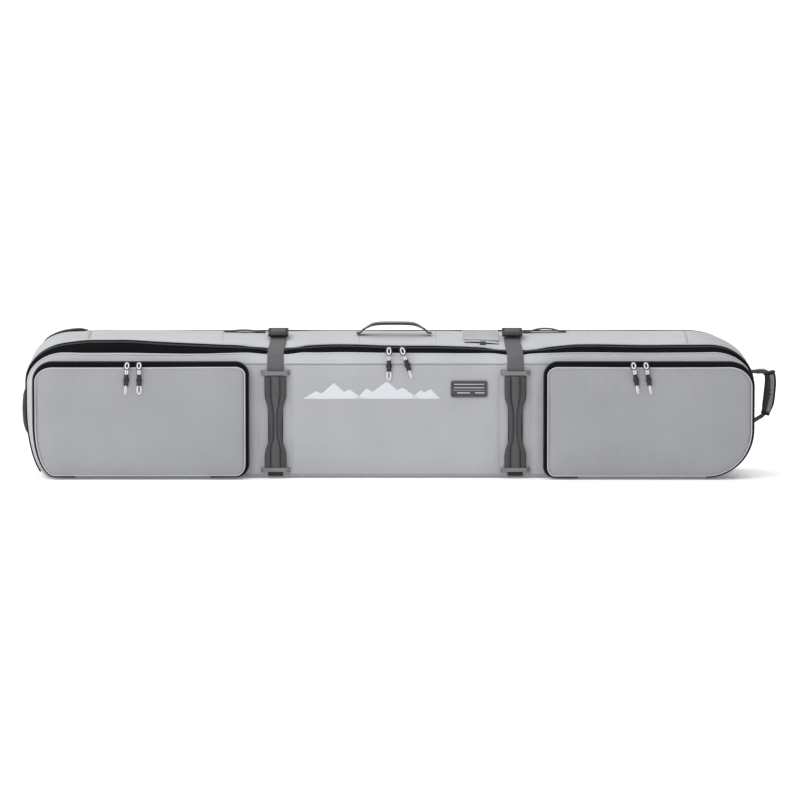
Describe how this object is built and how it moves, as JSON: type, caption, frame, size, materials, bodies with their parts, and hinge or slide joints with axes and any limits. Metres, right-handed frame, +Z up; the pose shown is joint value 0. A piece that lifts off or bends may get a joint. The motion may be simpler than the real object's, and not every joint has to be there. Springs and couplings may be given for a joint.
{
  "type": "snowboard bag",
  "caption": "Long padded wheeled bag for a snowboard, with a front that unzips, two gear pockets, compression straps with haul grips, carry handles and end wheels.",
  "frame": {"origin": "middle of the flat face of the bottom gusset that the bag stands on", "axes": "+X along the bag towards the tow handle, -X towards the wheels, -Y the front with the gear pockets, +Z up from the standing face"},
  "size_m": [1.77, 0.2555, 0.356],
  "materials": {
    "shell_fabric": "woven polyester, matt",
    "top_fabric": "woven polyester, matt",
    "end_fabric": "ballistic weave, matt",
    "webbing": "ribbed webbing",
    "padding": "padded woven wrap",
    "zip_tape": "coil zip on woven tape",
    "zip_metal": "black enamel",
    "pull_cord": "braided cord with a moulded end",
    "moulded_plastic": "fine texture",
    "wheel_rubber": "satin",
    "axle_steel": "ground",
    "patch_fabric": "woven label",
    "window_film": "frosted film"
  },
  "bodies": {
    "root": {"back_panel": "shell_fabric", "back_pad": "padding", "top_gusset": "top_fabric", "bottom_gusset": "shell_fabric", "wheel_end_gusset": "end_fabric", "tow_end_gusset": "end_fabric", "rear_zip_tape": "zip_tape", "id_window": "window_film", "id_tab": "webbing", "left_anchor_tab": "webbing", "right_anchor_tab": "webbing", "left_top_loop": "webbing", "right_top_loop": "webbing", "wheel_base": "moulded_plastic", "upper_axle": "axle_steel", "lower_axle": "axle_steel", "upper_skid_rail": "moulded_plastic", "lower_skid_rail": "moulded_plastic"},
    "lid": {"front_panel": "shell_fabric", "lid_gusset": "top_fabric", "front_zip_tape": "zip_tape", "left_pocket_gusset": "shell_fabric", "right_pocket_gusset": "shell_fabric", "label_patch": "patch_fabric", "left_strap_tail": "webbing", "left_grip": "padding", "left_upper_keeper": "webbing", "left_lower_keeper": "webbing", "right_strap_tail": "webbing", "right_grip": "padding", "right_upper_keeper": "webbing", "right_lower_keeper": "webbing"},
    "left_flap": {"left_pocket_flap": "shell_fabric"},
    "right_flap": {"right_pocket_flap": "shell_fabric"},
    "left_upper_strap": {"left_strap": "webbing", "left_buckle": "moulded_plastic"},
    "right_upper_strap": {"right_strap": "webbing", "right_buckle": "moulded_plastic"},
    "upper_wheel": {"upper_wheel_hub": "moulded_plastic", "upper_wheel_tyre": "wheel_rubber"},
    "lower_wheel": {"lower_wheel_hub": "moulded_plastic", "lower_wheel_tyre": "wheel_rubber"},
    "top_handle_body": {"top_handle": "webbing"},
    "tow_handle_body": {"tow_handle_webbing": "webbing", "tow_handle_grip": "padding"},
    "end_handle_body": {"end_handle": "webbing"},
    "main_left_slider_body": {"main_left_slider": "zip_metal"},
    "main_left_pull_body": {"main_left_pull": "pull_cord"},
    "main_right_slider_body": {"main_right_slider": "zip_metal"},
    "main_right_pull_body": {"main_right_pull": "pull_cord"},
    "left_pocket_left_slider_body": {"left_pocket_left_slider": "zip_metal"},
    "left_pocket_left_pull_body": {"left_pocket_left_pull": "pull_cord"},
    "left_pocket_right_slider_body": {"left_pocket_right_slider": "zip_metal"},
    "left_pocket_right_pull_body": {"left_pocket_right_pull": "pull_cord"},
    "right_pocket_left_slider_body": {"right_pocket_left_slider": "zip_metal"},
    "right_pocket_left_pull_body": {"right_pocket_left_pull": "pull_cord"},
    "right_pocket_right_slider_body": {"right_pocket_right_slider": "zip_metal"},
    "right_pocket_right_pull_body": {"right_pocket_right_pull": "pull_cord"}
  },
  "joints": [
    {"name": "lid_hinge", "type": "hinge", "parent": "root", "child": "lid", "pos_m": [0, -0.078, -0.0003], "axis": [1, 0, 0], "range_deg": [0, 150]},
    {"name": "left_flap_hinge", "type": "hinge", "parent": "lid", "child": "left_flap", "pos_m": [-0.58, -0.12215, 0.0037], "axis": [1, 0, 0], "range_deg": [0, 110]},
    {"name": "right_flap_hinge", "type": "hinge", "parent": "lid", "child": "right_flap", "pos_m": [0.606, -0.12215, 0.0037], "axis": [1, 0, 0], "range_deg": [0, 110]},
    {"name": "left_strap_swing", "type": "hinge", "parent": "lid", "child": "left_upper_strap", "pos_m": [-0.265, -0.1052, 0.2545], "axis": [1, 0, 0], "range_deg": [0, 110]},
    {"name": "right_strap_swing", "type": "hinge", "parent": "lid", "child": "right_upper_strap", "pos_m": [0.295, -0.1052, 0.2545], "axis": [1, 0, 0], "range_deg": [0, 110]},
    {"name": "upper_wheel_spin", "type": "hinge", "parent": "root", "child": "upper_wheel", "pos_m": [-0.775, 0.064, 0.268], "axis": [0, 0, 1], "continuous": true},
    {"name": "lower_wheel_spin", "type": "hinge", "parent": "root", "child": "lower_wheel", "pos_m": [-0.775, 0.064, 0.06], "axis": [0, 0, 1], "continuous": true},
    {"name": "top_handle_swing", "type": "hinge", "parent": "root", "child": "top_handle_body", "pos_m": [0.012, 0.005, 0.3325], "axis": [1, 0, 0], "range_deg": [-60, 60]},
    {"name": "tow_handle_swing", "type": "hinge", "parent": "root", "child": "tow_handle_body", "pos_m": [0.854, -0.005, 0.178], "axis": [0, 0, 1], "range_deg": [-50, 50]},
    {"name": "end_handle_swing", "type": "hinge", "parent": "root", "child": "end_handle_body", "pos_m": [-0.8505, -0.025, 0.15], "axis": [0, 0, 1], "range_deg": [-28, 28]},
    {"name": "main_left_slide", "type": "slide", "parent": "lid", "child": "main_left_slider_body", "axis": [-1, 0, 0], "range_m": [0, 0.2]},
    {"name": "main_left_pull_swing", "type": "hinge", "parent": "main_left_slider_body", "child": "main_left_pull_body", "pos_m": [0, -0.088, 0.312], "axis": [-1, 0, 0], "range_deg": [0, 120]},
    {"name": "main_right_slide", "type": "slide", "parent": "lid", "child": "main_right_slider_body", "axis": [1, 0, 0], "range_m": [0, 0.2]},
    {"name": "main_right_pull_swing", "type": "hinge", "parent": "main_right_slider_body", "child": "main_right_pull_body", "pos_m": [0.032, -0.088, 0.312], "axis": [-1, 0, 0], "range_deg": [0, 120]},
    {"name": "left_pocket_left_slide", "type": "slide", "parent": "left_flap", "child": "left_pocket_left_slider_body", "axis": [-1, 0, 0], "range_m": [0, 0.15]},
    {"name": "left_pocket_left_pull_swing", "type": "hinge", "parent": "left_pocket_left_slider_body", "child": "left_pocket_left_pull_body", "pos_m": [-0.609, -0.1375, 0.278], "axis": [-1, 0, 0], "range_deg": [0, 120]},
    {"name": "left_pocket_right_slide", "type": "slide", "parent": "left_flap", "child": "left_pocket_right_slider_body", "axis": [1, 0, 0], "range_m": [0, 0.19]},
    {"name": "left_pocket_right_pull_swing", "type": "hinge", "parent": "left_pocket_right_slider_body", "child": "left_pocket_right_pull_body", "pos_m": [-0.581, -0.1375, 0.278], "axis": [-1, 0, 0], "range_deg": [0, 120]},
    {"name": "right_pocket_left_slide", "type": "slide", "parent": "right_flap", "child": "right_pocket_left_slider_body", "axis": [-1, 0, 0], "range_m": [0, 0.15]},
    {"name": "right_pocket_left_pull_swing", "type": "hinge", "parent": "right_pocket_left_slider_body", "child": "right_pocket_left_pull_body", "pos_m": [0.569, -0.1375, 0.278], "axis": [-1, 0, 0], "range_deg": [0, 120]},
    {"name": "right_pocket_right_slide", "type": "slide", "parent": "right_flap", "child": "right_pocket_right_slider_body", "axis": [1, 0, 0], "range_m": [0, 0.17]},
    {"name": "right_pocket_right_pull_swing", "type": "hinge", "parent": "right_pocket_right_slider_body", "child": "right_pocket_right_pull_body", "pos_m": [0.598, -0.1375, 0.278], "axis": [-1, 0, 0], "range_deg": [0, 120]}
  ]
}
